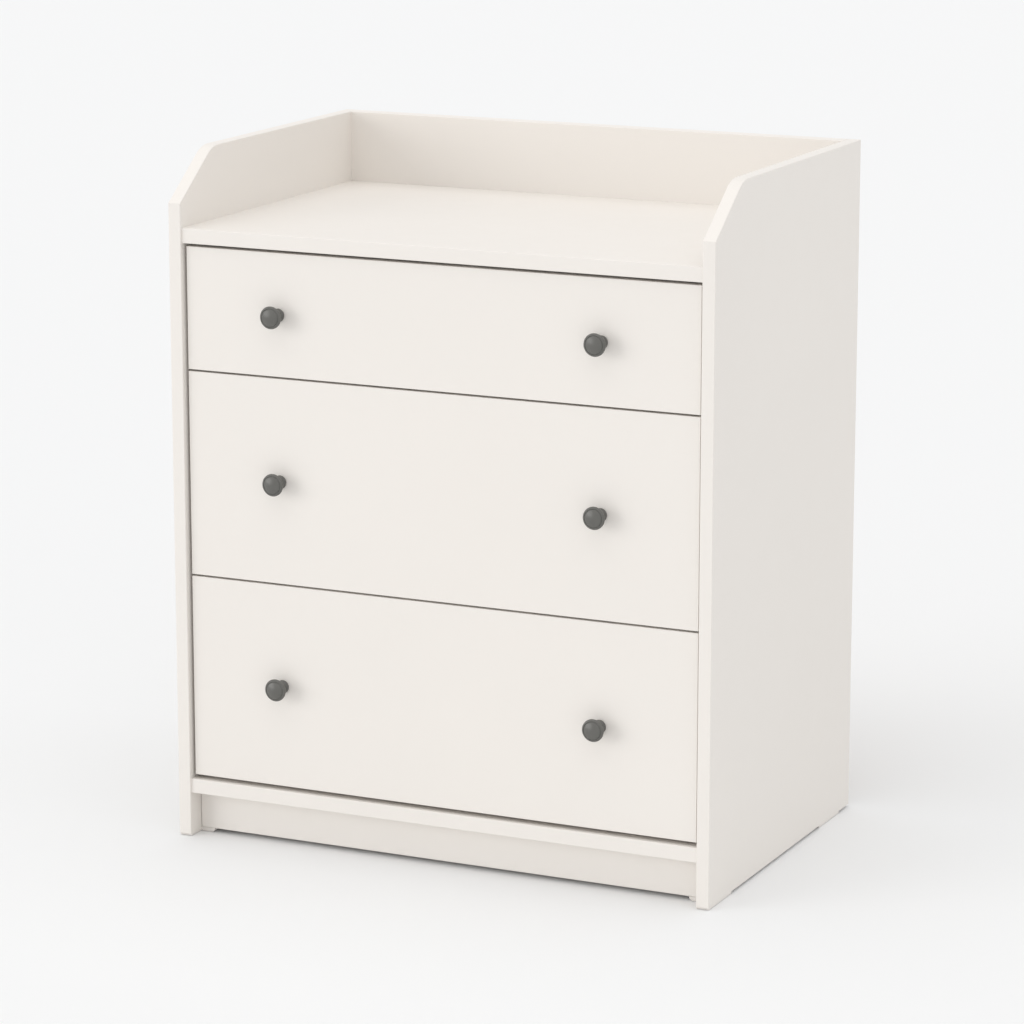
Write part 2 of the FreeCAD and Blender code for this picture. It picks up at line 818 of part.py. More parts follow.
def make_drawer_runner(drawer, track):
    """A steel strip that wraps the lower edge of the box side; its flange rides on the front roller."""
    body = new_body(
        f"{drawer}_strip",
        ("box_half - strip_wrap", "runner_front", f"{track} - steel_thickness"),
    )
    web = "strip_wrap + steel_thickness"
    reach = "strip_wrap + strip_flange_reach"
    flange_low = "flange_rise + steel_thickness"
    flange_high = "flange_rise + 2 * steel_thickness"
    profile = new_sketch(body, "y")
    draw_outline(
        profile,
        [
            ("0", "0"),
            (web, "0"),
            (web, flange_low),
            (reach, flange_low),
            (reach, flange_high),
            ("strip_wrap", flange_high),
            ("strip_wrap", "steel_thickness"),
            ("0", "steel_thickness"),
        ],
    )
    pad(body, profile, "y", "runner_length")
    roller_y = "runner_front + runner_length - rear_roller_inset"
    roller_room = block(
        f"{drawer}_roller_room",
        ("box_half + steel_thickness", f"{roller_y} - rear_roller_radius - roller_relief", track),
        (
            "box_half + strip_flange_reach + steel_thickness",
            "runner_front + runner_length + steel_thickness",
            f"{track} + flange_rise + 2 * steel_thickness",
        ),
    )
    axle, roller = axle_and_roller(
        f"{drawer}_drawer",
        "box_half + steel_thickness",
        True,
        roller_y,
        f"{track} + rear_roller_radius + roller_play",
        "rear_roller_radius",
    )
    pegs = [
        rod(
            f"{drawer}_strip_{end}_peg",
            "z",
            ("box_half - box_side_thickness / 2", y, track),
            "strip_peg_length",
            "strip_peg_radius",
        )
        for end, y in (
            ("front", "runner_front + strip_peg_inset"),
            ("rear", "runner_front + runner_length - strip_peg_inset"),
        )
    ]
    strip = cut(f"{drawer}_strip_trimmed", body, roller_room)
    right = fused(f"{drawer}_drawer_runner_right", [strip] + axle + pegs)
    keep(right, mirrored(f"{drawer}_drawer_runner_left", right))
    keep(both_sides(f"{drawer}_drawer_rollers", roller))
    return grouped(f"{drawer}_strip_pegs", pegs)


# ------------------------------------------------------------------ drawers

def starting_value(text):
    """The plain value of a size written as its name, as minus its name, or as 0."""
    return -SIZES[text[1:]] if text.startswith("-") else SIZES.get(text, 0)


def make_knob(drawer, z):
    """A turned knob: a small base, a narrow neck and a wide head with a shallow dome."""
    body = new_body(f"{drawer}_knob_blank", ("knob_spacing / 2", "front_face", z))
    profile = [
        ("0", "0"),
        ("0", "knob_base_radius"),
        ("-knob_base_length", "knob_base_radius"),
        ("-knob_neck_start", "knob_neck_radius"),
        ("-knob_neck_end", "knob_neck_radius"),
        ("-knob_rim_back", "knob_head_radius"),
        ("-knob_rim_front", "knob_head_radius"),
        ("-knob_face_level", "knob_face_radius"),
        ("-knob_projection", "0"),
    ]
    points = [Vector(starting_value(forward), starting_value(radius), 0) for forward, radius in profile]
    sketch = new_sketch(body, "x")
    lines = len(profile) - 2
    for index in range(lines):
        sketch.addGeometry(Part.LineSegment(points[index], points[index + 1]), False)
    face_edge, tip = points[-2], points[-1]
    rise = face_edge.x - tip.x
    dome_radius = (face_edge.y**2 + rise**2) / (2 * rise)
    sweep = math.asin(face_edge.y / dome_radius)
    circle = Part.Circle(Vector(tip.x + dome_radius, 0, 0), Vector(0, 0, 1), dome_radius)
    dome = sketch.addGeometry(Part.ArcOfCircle(circle, math.pi - sweep, math.pi), False)
    axis = sketch.addGeometry(Part.LineSegment(tip, points[0]), False)
    for index in range(axis):
        sketch.addConstraint(Sketcher.Constraint("Coincident", index, 2, index + 1, 1))
    sketch.addConstraint(Sketcher.Constraint("Coincident", axis, 2, 0, 1))
    sketch.addConstraint(Sketcher.Constraint("PointOnObject", dome, 3, -1))
    for index, (forward, radius) in enumerate(profile):
        hold_point(sketch, index, 1, forward, radius)
    turned = body.newObject("PartDesign::Revolution", f"{body.Name}_turned")
    turned.Profile = sketch
    turned.ReferenceAxis = (sketch, ["H_Axis"])
    turned.Angle = 360
    soften(
        body,
        "Fillet",
        "Radius",
        "knob_soft_radius",
        lambda edge: edge.isClosed() and edge.BoundBox.YMax < -NEAR and edge.BoundBox.YLength < NEAR,
    )
    return body


def make_drawer(drawer):
    front_low = f"{drawer}_front_low"
    front_high = f"{front_low} + {drawer}_front_height"
    box_low = f"{front_low} + box_raise"
    box_high = f"{front_high} - box_drop"
    knob_z = f"{front_low} + {drawer}_front_height / 2"

    screw = headed_pin(
        f"{drawer}_knob_screw",
        "y",
        ("knob_spacing / 2", "front_face - knob_screw_grip", knob_z),
        "front_thickness + knob_screw_grip",
        "knob_screw_radius",
        "knob_screw_head_radius",
        "knob_screw_head_height",
        head_first=False,
    )
    screw_hole = rod(
        f"{drawer}_knob_screw_hole",
        "y",
        ("knob_spacing / 2", "front_face - edge_radius", knob_z),
        "front_thickness + 2 * edge_radius",
        "knob_screw_hole_radius",
    )
    knob_right = cut(f"{drawer}_drawer_knob_right", make_knob(drawer, knob_z), screw)
    keep(knob_right, mirrored(f"{drawer}_drawer_knob_left", knob_right))
    keep(both_sides(f"{drawer}_drawer_knob_screws", screw))

    dowels_right = []
    side_middle = "box_half - box_side_thickness / 2"
    for level, z in (("low", f"{box_low} + box_dowel_low"), ("high", f"{box_high} - box_dowel_high")):
        dowels_right.append(
            rod(
                f"{drawer}_front_dowel_{level}",
                "y",
                (side_middle, "box_front - front_dowel_hold", z),
                "box_dowel_length",
                "box_dowel_radius",
            )
        )
        dowels_right.append(
            rod(
                f"{drawer}_back_dowel_{level}",
                "x",
                (
                    "box_inner_half + side_dowel_hold - box_dowel_length",
                    "box_back - box_back_thickness / 2",
                    z,
                ),
                "box_dowel_length",
                "box_dowel_radius",
            )
        )
    dowel_group = grouped(f"{drawer}_dowels_right", dowels_right)
    dowels = both_sides(f"{drawer}_drawer_dowels", dowel_group)
    keep(dowels)

    bottom = board(
        f"{drawer}_drawer_bottom",
        (
            "-box_inner_half - groove_depth",
            "box_front - groove_depth",
            f"{box_low} + groove_height",
        ),
        (
            "box_inner_half + groove_depth",
            "box_back - box_back_thickness + groove_depth",
            f"{box_low} + groove_height + box_bottom_thickness",
        ),
        "z",
    )
    keep(bottom)

    front_blank = board(
        f"{drawer}_front_blank",
        ("-front_half", "front_face", front_low),
        ("front_half", "box_front", front_high),
        "y",
    )
    soften(front_blank, "Fillet", "Radius", "front_edge_radius", lambda edge: all_at(edge, "Y", 0))
    holes = both_sides(f"{drawer}_knob_screw_holes", screw_hole)
    keep(cut(f"{drawer}_drawer_front", front_blank, holes, dowels, bottom))

    strip_pegs = make_drawer_runner(drawer, box_low)
    side_blank = board(
        f"{drawer}_side_blank",
        ("box_inner_half", "box_front", box_low),
        ("box_half", "box_back", box_high),
        "x",
    )
    side_right = cut(f"{drawer}_drawer_side_right", side_blank, dowel_group, bottom, strip_pegs)
    keep(side_right, mirrored(f"{drawer}_drawer_side_left", side_right))

    back_blank = board(
        f"{drawer}_back_blank",
        ("-box_inner_half", "box_back - box_back_thickness", box_low),
        ("box_inner_half", "box_back", box_high),
        "y",
    )
    keep(cut(f"{drawer}_drawer_back", back_blank, dowels, bottom))


# ------------------------------------------------------------------ the whole dresser

def check_and_write():
    """Stops if any object failed or any piece is empty or faulty, and then writes every piece."""
    for thing in doc.Objects:
        if "Invalid" in thing.State or "Error" in thing.State:
            raise RuntimeError(f"{thing.Name} failed: {thing.State}")
    for piece in subparts:
        if piece.Shape.isNull() or not piece.Shape.isValid() or not piece.Shape.Solids:
            raise RuntimeError(f"{piece.Name} has no valid solid")
    os.makedirs("parts", exist_ok=True)
    for piece in subparts:
        piece.Label = piece.Name
        piece.Shape.exportStep(f"parts/{piece.Label}.step")
        print(f"{piece.Label}: {len(piece.Shape.Solids)} solid(s), {piece.Shape.Volume:.0f} mm3")
    print(f"{len(subparts)} pieces")


fill_sheet()
work_out_places()
side_joinery, board_joinery = make_joinery()
back_nails_right, back_nails = make_nails()
runner_screw_group, bracket_screw_group = make_carcass_screws()
make_carcass(
    side_joinery,
    board_joinery,
    back_nails_right,
    back_nails,
    runner_screw_group,
    bracket_screw_group,
)
for drawer_name in DRAWERS:
    make_cabinet_runner(drawer_name, f"{drawer_name}_front_low + box_raise", runner_screw_group)
    make_drawer(drawer_name)
doc.recompute()
check_and_write()
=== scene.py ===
import math

import bmesh
import bpy
from mathutils import Matrix, Vector


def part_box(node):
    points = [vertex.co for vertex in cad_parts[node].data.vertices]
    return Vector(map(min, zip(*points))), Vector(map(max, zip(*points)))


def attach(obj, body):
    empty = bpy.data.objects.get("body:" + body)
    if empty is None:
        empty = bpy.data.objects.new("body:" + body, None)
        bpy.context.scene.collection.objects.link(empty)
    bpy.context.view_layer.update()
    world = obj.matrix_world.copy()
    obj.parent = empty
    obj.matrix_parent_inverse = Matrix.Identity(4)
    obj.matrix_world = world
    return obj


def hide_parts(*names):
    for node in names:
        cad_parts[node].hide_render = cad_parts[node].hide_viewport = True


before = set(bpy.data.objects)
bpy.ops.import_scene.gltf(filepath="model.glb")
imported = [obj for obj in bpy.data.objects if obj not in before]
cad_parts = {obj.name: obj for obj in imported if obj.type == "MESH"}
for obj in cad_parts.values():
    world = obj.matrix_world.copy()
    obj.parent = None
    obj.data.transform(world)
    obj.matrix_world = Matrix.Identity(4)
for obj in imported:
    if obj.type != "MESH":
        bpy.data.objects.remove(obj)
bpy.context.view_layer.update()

# ---------------------------------------------------------------- painted boards of the carcass
# Side panels, top, bottom, plinth and gallery are particleboard with a satin off-white foil on the faces
# and a band of the same colour on the edges. Cam fittings and dowels hold the boards between the sides.

BOARD_WHITE = (0.842, 0.804, 0.760)
GLOSS_SPOT = 0.02  # metres
GLOSS_DRIFT = 0.04


def add_node(tree, kind, settings=None, **inputs):
    """Adds a node, sets its own options and the values of its sockets by name."""
    node = tree.nodes.new(kind)
    for option, value in (settings or {}).items():
        setattr(node, option, value)
    for socket, value in inputs.items():
        node.inputs[socket.replace("_", " ")].default_value = value
    return node


def object_noise(tree, size, detail=2.0, stretch=(1, 1, 1)):
    """Soft spots about `size` metres across, fixed to the piece; `stretch` draws them out along an axis."""
    place = add_node(tree, "ShaderNodeTexCoord")
    turn = add_node(tree, "ShaderNodeMapping", Scale=[1 / (size * ratio) for ratio in stretch])
    noise = add_node(tree, "ShaderNodeTexNoise", Scale=1.0, Detail=detail)
    tree.links.new(place.outputs["Object"], turn.inputs["Vector"])
    tree.links.new(turn.outputs["Vector"], noise.inputs["Vector"])
    return noise.outputs["Fac"]


def blend_colors(tree, factor, first, second):
    """A colour between two others; each is a colour or a socket."""
    mix = add_node(tree, "ShaderNodeMix", {"data_type": "RGBA"})
    tree.links.new(factor, mix.inputs["Factor"])
    for name, color in (("A", first), ("B", second)):
        socket = next(item for item in mix.inputs if item.name == name and item.type == "RGBA")
        if isinstance(color, tuple):
            socket.default_value = (*color, 1)
        else:
            tree.links.new(color, socket)
    return next(item for item in mix.outputs if item.type == "RGBA")


def spread(tree, value, low, high):
    """Turns the middle of a noise, 0.3 to 0.7, into a range of values."""
    ranged = add_node(tree, "ShaderNodeMapRange", From_Min=0.3, From_Max=0.7, To_Min=low, To_Max=high)
    tree.links.new(value, ranged.inputs["Value"])
    return ranged.outputs["Result"]


def raise_surface(tree, shader, height, depth):
    """Small relief, `depth` metres high, in the shading of a material."""
    relief = add_node(tree, "ShaderNodeBump", Strength=1.0, Distance=depth)
    tree.links.new(height, relief.inputs["Height"])
    tree.links.new(relief.outputs["Normal"], shader.inputs["Normal"])


def start_material(name, color, roughness, metallic=0.0):
    """A Principled material; returns it with its tree and shader."""
    made = bpy.data.materials.new(name)
    made.use_nodes = True
    shader = made.node_tree.nodes["Principled BSDF"]
    shader.inputs["Base Color"].default_value = (*color, 1)
    shader.inputs["Roughness"].default_value = roughness
    shader.inputs["Metallic"].default_value = metallic
    return made, made.node_tree, shader


def speckled(
    name, color, roughness, tone=0.02, tone_size=0.25, grain_size=0.0008, grain_depth=0.00001, metallic=0.0
):
    """A coated surface: its colour drifts a little, its gloss is uneven and it has a fine grain."""
    made, tree, shader = start_material(name, color, roughness, metallic)
    darker = tuple(part * (1 - tone) for part in color)
    drift = blend_colors(tree, spread(tree, object_noise(tree, tone_size), 0, 1), darker, color)
    tree.links.new(drift, shader.inputs["Base Color"])
    spots = object_noise(tree, GLOSS_SPOT, detail=4.0)
    gloss = spread(tree, spots, roughness - GLOSS_DRIFT, roughness + GLOSS_DRIFT)
    tree.links.new(gloss, shader.inputs["Roughness"])
    raise_surface(tree, shader, object_noise(tree, grain_size, detail=3.0), grain_depth)
    return made


def dress(material, *nodes):
    """Gives CAD nodes their finish."""
    for node in nodes:
        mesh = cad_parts[node].data
        mesh.materials.clear()
        mesh.materials.append(material)


board_foil = speckled("board_foil", BOARD_WHITE, 0.48, tone=0.012)
dress(board_foil, "side_panel_left", "side_panel_right", "top_panel", "bottom_panel")
dress(board_foil, "plinth", "gallery_back")

# ---------------------------------------------------------------- back panel
# A 3 mm hardboard sheet nailed into a rebate of the side panels. Its inner face is printed white to match
# the boards; the outer face and the edges stay raw, with the mark of the press's wire screen.

HARDBOARD_BROWN = (0.42, 0.30, 0.19)
HARDBOARD_DARK = (0.30, 0.205, 0.125)
FIBRE_SIZE = 0.003
SCREEN_PITCH = 0.0021
SCREEN_DEPTH = 0.0002
WAVE_LENGTH = 0.314  # from ridge to ridge of a wave texture at scale 1


def facing(tree, direction):
    """1 where the surface looks along a direction, else 0."""
    place = add_node(tree, "ShaderNodeTexCoord")
    along = add_node(tree, "ShaderNodeVectorMath", {"operation": "DOT_PRODUCT"})
    along.inputs[1].default_value = direction
    tree.links.new(place.outputs["Normal"], along.inputs[0])
    side = add_node(tree, "ShaderNodeMath", {"operation": "GREATER_THAN"})
    side.inputs[1].default_value = 0.5
    tree.links.new(along.outputs["Value"], side.inputs[0])
    return side.outputs["Value"]


def screen_wave(tree, axis):
    """Parallel ridges of the press's wire screen."""
    place = add_node(tree, "ShaderNodeTexCoord")
    scale = WAVE_LENGTH / SCREEN_PITCH
    wave = add_node(tree, "ShaderNodeTexWave", {"bands_direction": axis}, Scale=scale, Distortion=0.6)
    tree.links.new(place.outputs["Object"], wave.inputs["Vector"])
    return wave.outputs["Fac"]


def hardboard(name, printed_side, screen_axes):
    """Brown fibre sheet with a white print on one side and the screen's mark on the others."""
    made, tree, shader = start_material(name, HARDBOARD_BROWN, 0.75)
    fibres = spread(tree, object_noise(tree, FIBRE_SIZE, detail=6.0), 0, 1)
    raw = blend_colors(tree, fibres, HARDBOARD_DARK, HARDBOARD_BROWN)
    print_mask = facing(tree, printed_side)
    tree.links.new(blend_colors(tree, print_mask, raw, BOARD_WHITE), shader.inputs["Base Color"])
    mesh_mark = add_node(tree, "ShaderNodeMath", {"operation": "MULTIPLY"})
    for socket, axis in zip(mesh_mark.inputs, screen_axes):
        tree.links.new(screen_wave(tree, axis), socket)
    raw_only = add_node(tree, "ShaderNodeMath", {"operation": "SUBTRACT", "use_clamp": True})
    tree.links.new(mesh_mark.outputs["Value"], raw_only.inputs[0])
    tree.links.new(print_mask, raw_only.inputs[1])
    raise_surface(tree, shader, raw_only.outputs["Value"], SCREEN_DEPTH)
    return made


dress(hardboard("back_hardboard", (0, -1, 0), ("X", "Z")), "back_panel")

# ---------------------------------------------------------------- feet
# Glides of moulded polypropylene in the boards' colour, pressed by two pegs into the lower edges of the
# side panels. The front pair has a tab that carries the ends of the plinth.

FOOT_LENGTH = 68.0
FRONT_FOOT_INSET = 2.0  # from the side panel's front edge
REAR_FOOT_INSET = 35.0  # from its back edge
FOOT_ROUNDING = 1.8
TAB_REACH = 19.0
TAB_SLOPE = 3.5
PEG_RADIUS = 2.5
PEG_LENGTH = 9.0
PEG_TIP_ROUNDING = 0.8
PEG_INSET = 14.0
TOUCH = 0.01  # faces closer than this lie at the same level
MERGE = 0.001  # points closer than this are one point
MILLIMETRE = 0.001


def corners_of(node):
    """Low and high corner of a CAD node, in millimetres."""
    low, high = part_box(node)
    return Vector(low) * 1000, Vector(high) * 1000


def turn_profile(profile, steps, closed=False):
    """Spins (height, radius, rounding) points, in millimetres, about Z."""
    bm = bmesh.new()
    points = [bm.verts.new((radius, 0, height)) for height, radius, _ in profile]
    for first, second in zip(points, points[1:]):
        bm.edges.new((first, second))
    if closed:
        bm.edges.new((points[-1], points[0]))
    for point, (_, _, rounding) in zip(points, profile):
        if rounding:
            bmesh.ops.bevel(
                bm, geom=[point], offset=rounding, segments=4, profile=0.5, affect="VERTICES", material=-1
            )
    outline = bm.verts[:] + bm.edges[:]
    bmesh.ops.spin(
        bm, geom=outline, cent=(0, 0, 0), axis=(0, 0, 1), angle=math.tau, steps=steps, use_merge=True
    )
    bmesh.ops.remove_doubles(bm, verts=bm.verts, dist=MERGE)
    return bm


def set_in_place(bm, point, direction):
    """Turns a shape made along Z to look along a direction, then moves it to a point, in millimetres."""
    turn = Vector(direction).to_track_quat("Z", "Y").to_matrix().to_4x4()
    bmesh.ops.transform(bm, matrix=Matrix.Translation(point) @ turn, verts=bm.verts)


def gather(shapes):
    """Puts several shapes into one."""
    whole = bmesh.new()
    for bm in shapes:
        mesh = bpy.data.meshes.new("part")
        bm.to_mesh(mesh)
        bm.free()
        whole.from_mesh(mesh)
        bpy.data.meshes.remove(mesh)
    return whole


def stand_for(bm, name, node, body, material, crease=35):
    """Makes an object of a shape in millimetres; it takes the place of a CAD node on that node's body."""
    bmesh.ops.remove_doubles(bm, verts=bm.verts, dist=MERGE)
    bmesh.ops.recalc_face_normals(bm, faces=bm.faces)
    bmesh.ops.scale(bm, vec=(MILLIMETRE, MILLIMETRE, MILLIMETRE), verts=bm.verts)
    mesh = bpy.data.meshes.new(name)
    bm.to_mesh(mesh)
    bm.free()
    mesh.shade_smooth()
    mesh.set_sharp_from_angle(angle=math.radians(crease))
    mesh.materials.append(material)
    piece = bpy.data.objects.new(name, mesh)
    bpy.context.scene.collection.objects.link(piece)
    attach(piece, body)
    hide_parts(node)


side_low, side_high = corners_of("side_panel_right")
plinth_low, plinth_high = corners_of("plinth")
foot_height = side_low.z
front_foot_start = side_low.y + FRONT_FOOT_INSET
rear_foot_end = side_high.y - REAR_FOOT_INSET
front_foot_rows = (front_foot_start, plinth_low.y, plinth_high.y, front_foot_start + FOOT_LENGTH)
rear_foot_rows = (rear_foot_end - FOOT_LENGTH, rear_foot_end)


def faces_at(bm, axis, level):
    """The faces whose middle lies at a level along an axis."""
    return [face for face in bm.faces if abs(face.calc_center_median()[axis] - level) < TOUCH]


def make_slab(rows):
    """A flat block under the right side panel, cut across at each y of `rows`."""
    bm = bmesh.new()
    count = len(rows) - 1
    bmesh.ops.create_grid(bm, x_segments=1, y_segments=count, size=1)
    for vert in bm.verts:
        row = round((vert.co.y + 1) / 2 * count)
        vert.co = (side_high.x if vert.co.x > 0 else side_low.x, rows[row], 0)
    raised = bmesh.ops.extrude_face_region(bm, geom=bm.faces[:])["geom"]
    top = [item for item in raised if isinstance(item, bmesh.types.BMVert)]
    bmesh.ops.translate(bm, vec=(0, 0, foot_height), verts=top)
    return bm


def add_tab(bm):
    """Draws the inward tab of a front foot out of the slab, raises it to the plinth and slopes its end."""
    middle = (plinth_low.y + plinth_high.y) / 2
    inner = min(faces_at(bm, 0, side_low.x), key=lambda face: abs(face.calc_center_median().y - middle))
    end = bmesh.ops.extrude_discrete_faces(bm, faces=[inner])["faces"][0]
    bmesh.ops.translate(bm, vec=(-TAB_REACH, 0, 0), verts=end.verts)
    toes = [vert for vert in end.verts if vert.co.z < TOUCH]
    tab_middle = side_low.x - TAB_REACH / 2
    top = [face for face in faces_at(bm, 0, tab_middle) if face.calc_center_median().z > foot_height - TOUCH]
    raised = bmesh.ops.extrude_discrete_faces(bm, faces=top)["faces"][0]
    bmesh.ops.translate(bm, vec=(0, 0, plinth_low.z - foot_height), verts=raised.verts)
    bmesh.ops.translate(bm, vec=(TAB_SLOPE, 0, 0), verts=toes)


def round_sole(bm):
    """Rounds the edges round the underside of a foot."""
    sole = faces_at(bm, 2, 0)
    rim = [edge for face in sole for edge in face.edges if any(side not in sole for side in edge.link_faces)]
    bmesh.ops.bevel(
        bm, geom=rim, offset=FOOT_ROUNDING, segments=4, profile=0.5, affect="EDGES", material=-1
    )


def make_peg(y):
    """A peg on top of a foot, in the middle of the side panel's thickness."""
    profile = (
        (0, 0, 0),
        (0, PEG_RADIUS, 0),
        (PEG_LENGTH, PEG_RADIUS, PEG_TIP_ROUNDING),
        (PEG_LENGTH, 0, 0),
    )
    bm = turn_profile(profile, steps=24)
    set_in_place(bm, ((side_low.x + side_high.x) / 2, y, foot_height), (0, 0, 1))
    return bm


def make_foot(rows, tab=False):
    """A right-hand foot: a slab with rounded lower edges, and its two pegs."""
    bm = make_slab(rows)
    if tab:
        add_tab(bm)
    bmesh.ops.recalc_face_normals(bm, faces=bm.faces)
    round_sole(bm)
    return gather([bm, make_peg(rows[0] + PEG_INSET), make_peg(rows[-1] - PEG_INSET)])


def pair_with_mirror(bm):
    """Adds the left-hand copy of a right-hand shape."""
    bmesh.ops.mirror(bm, geom=bm.verts[:] + bm.edges[:] + bm.faces[:], axis="X")
    return bm


foot_plastic = speckled(
    "foot_plastic", (0.81, 0.774, 0.732), 0.42, tone=0.01, grain_size=0.0005, grain_depth=0.00002
)
front_pair = pair_with_mirror(make_foot(front_foot_rows, tab=True))
rear_pair = pair_with_mirror(make_foot(rear_foot_rows))
stand_for(front_pair, "front_feet_moulded", "front_feet", "carcass", foot_plastic)
stand_for(rear_pair, "rear_feet_moulded", "rear_feet", "carcass", foot_plastic)

# ---------------------------------------------------------------- dowels
# Beech pegs that line the boards up, in the carcass and in the drawer boxes. They can't be seen on the
# assembled chest.

DRAWERS = ("bottom", "middle", "top")
BEECH_LIGHT = (0.62, 0.43, 0.27)
BEECH_DARK = (0.46, 0.29, 0.165)
FLECK_SIZE = 0.0007


def beech(name, along):
    """Pale wood with short darker flecks that run along the peg."""
    made, tree, shader = start_material(name, BEECH_LIGHT, 0.62)
    flecks = object_noise(tree, FLECK_SIZE, detail=4.0, stretch=along)
    color = blend_colors(tree, spread(tree, flecks, 0, 1), BEECH_DARK, BEECH_LIGHT)
    tree.links.new(color, shader.inputs["Base Color"])
    raise_surface(tree, shader, flecks, 0.00004)
    return made


dress(beech("carcass_beech", (10, 1, 1)), "panel_dowels")
dress(beech("drawer_beech", (10, 10, 1)), *[f"{drawer}_drawer_dowels" for drawer in DRAWERS])

# ---------------------------------------------------------------- cam nuts and cam bolts
# Die-cast zinc nuts sit in blind holes in the hidden side of each board, flush with it. A cross slot turns
# the nut, which draws in the head of a steel bolt screwed into the side panel.

NUT_RADIUS = 7.5
NUT_HEIGHT = 13.0
NUT_DISH = 0.7  # how far the middle of the visible face is sunk
NUT_CROSS = 3.9  # half the cross slot's width
NUT_CROSS_DEPTH = 4.0
NUT_PROFILE = (  # height, radius, rounding
    (0.0, 0.0, 0),
    (0.0, NUT_RADIUS, 0.5),
    (NUT_HEIGHT, NUT_RADIUS, 0.4),
    (NUT_HEIGHT, 6.6, 0.2),
    (NUT_HEIGHT - NUT_DISH, 6.3, 0.2),
    (NUT_HEIGHT - NUT_DISH, 4.6, 0),
)
NUT_FROM_SIDE = 24.0  # nut's axis to the side panel's inner face
NUT_FROM_EDGE = 60.0  # nut's axis to the side panel's front or back edge
CROSS_TAPER = 0.7  # size of a cross slot's floor against its mouth


def close_with_cross(bm, height, reach, depth):
    """Closes the open top of a turned shape with a flat face that holds a tapered cross slot."""
    rim = [edge for edge in bm.edges if edge.is_boundary]
    level = Matrix.Translation((0, 0, height))
    grid = bmesh.ops.create_grid(bm, x_segments=3, y_segments=3, size=reach, matrix=level)["verts"]
    cells = {face for vert in grid for face in vert.link_faces}
    third = reach / 3
    corners = [face for face in cells if min(map(abs, face.calc_center_median().xy)) > third]
    cross = [face for face in cells if face not in corners]
    bmesh.ops.delete(bm, geom=corners, context="FACES")
    outline = [edge for edge in {edge for face in cross for edge in face.edges} if edge.is_boundary]
    made = bmesh.ops.extrude_face_region(bm, geom=cross)["geom"]
    floor = [item for item in made if isinstance(item, bmesh.types.BMVert)]
    bmesh.ops.translate(bm, vec=(0, 0, -depth), verts=floor)
    bmesh.ops.scale(bm, vec=(CROSS_TAPER, CROSS_TAPER, 1), verts=floor)
    bmesh.ops.delete(bm, geom=[face for face in cross if face.is_valid], context="FACES_ONLY")
    bmesh.ops.triangle_fill(bm, edges=rim + outline, use_beauty=True)


def nut_places():
    """The middle of each visible nut face on the right-hand side, and the way that it looks."""
    x = side_low.x - NUT_FROM_SIDE
    for board in ("top_panel", "bottom_panel"):
        underside = corners_of(board)[0].z
        for y in (side_low.y + NUT_FROM_EDGE, side_high.y - NUT_FROM_EDGE):
            yield (x, y, underside), (0, 0, -1)
    for board in ("gallery_back", "plinth"):
        low, high = corners_of(board)
        yield (x, high.y, (low.z + high.z) / 2), (0, 1, 0)


def make_cam_nut(place, direction):
    """One cam nut with its visible face at the given place."""
    bm = turn_profile(NUT_PROFILE, steps=40)
    close_with_cross(bm, NUT_HEIGHT - NUT_DISH, NUT_CROSS, NUT_CROSS_DEPTH)
    set_in_place(bm, Vector(place) - Vector(direction) * NUT_HEIGHT, direction)
    return bm


zinc_casting = speckled(
    "zinc_casting", (0.50, 0.50, 0.49), 0.46, tone=0.10, tone_size=0.004, grain_size=0.0004,
    grain_depth=0.00004, metallic=1.0,
)
nuts = []
for side in (1, -1):
    nuts += [make_cam_nut((side * x, y, z), way) for (x, y, z), way in nut_places()]
stand_for(gather(nuts), "cam_nuts_turned", "cam_nuts", "carcass", zinc_casting)

zinc_plate = speckled(
    "zinc_plate", (0.62, 0.625, 0.62), 0.34, tone=0.06, tone_size=0.003, grain_size=0.0006, metallic=1.0
)
dress(zinc_plate, "cam_bolts")

# ---------------------------------------------------------------- drawer runners
# Each side has a roll-formed steel channel screwed to the side panel and a steel strip under the drawer
# box. Both are powder coated off-white and carry a riveted axle.

runner_coat = speckled("runner_coat", (0.79, 0.765, 0.73), 0.38, grain_size=0.0012, grain_depth=0.00002)
for drawer in DRAWERS:
    for side in ("left", "right"):
        dress(runner_coat, f"cabinet_runner_{drawer}_{side}", f"{drawer}_drawer_runner_{side}")

# ---------------------------------------------------------------- rollers
# Nylon wheels with a rounded tread and a sunk web turn on the axles: one on the front of each channel,
# one on the rear of each drawer strip.

ROLLER_WIDTH = 6.0
BORE_RADIUS = 2.55
HUB_WALL = 1.3
TREAD_WALL = 1.6
WEB_SINK = 1.0
WEB_DRAFT = 0.3
FRONT_ROLLER_RADIUS = 7.0
REAR_ROLLER_RADIUS = 9.0


def make_roller(radius, x, y, z):
    """A wheel across the middle of x, with rounded tread edges and a web thinner than the tread and hub."""
    half = ROLLER_WIDTH / 2
    web = half - WEB_SINK
    hub = BORE_RADIUS + HUB_WALL
    tread = radius - TREAD_WALL
    profile = (  # height, radius, rounding
        (-half, BORE_RADIUS, 0.15),
        (-half, hub, 0.2),
        (-web, hub + WEB_DRAFT, 0.2),
        (-web, tread - WEB_DRAFT, 0.2),
        (-half, tread, 0.2),
        (-half, radius, 0.7),
        (half, radius, 0.7),
        (half, tread, 0.2),
        (web, tread - WEB_DRAFT, 0.2),
        (web, hub + WEB_DRAFT, 0.2),
        (half, hub, 0.2),
        (half, BORE_RADIUS, 0.15),
    )
    bm = turn_profile(profile, steps=48, closed=True)
    set_in_place(bm, (x, y, z), (1, 0, 0))
    return bm


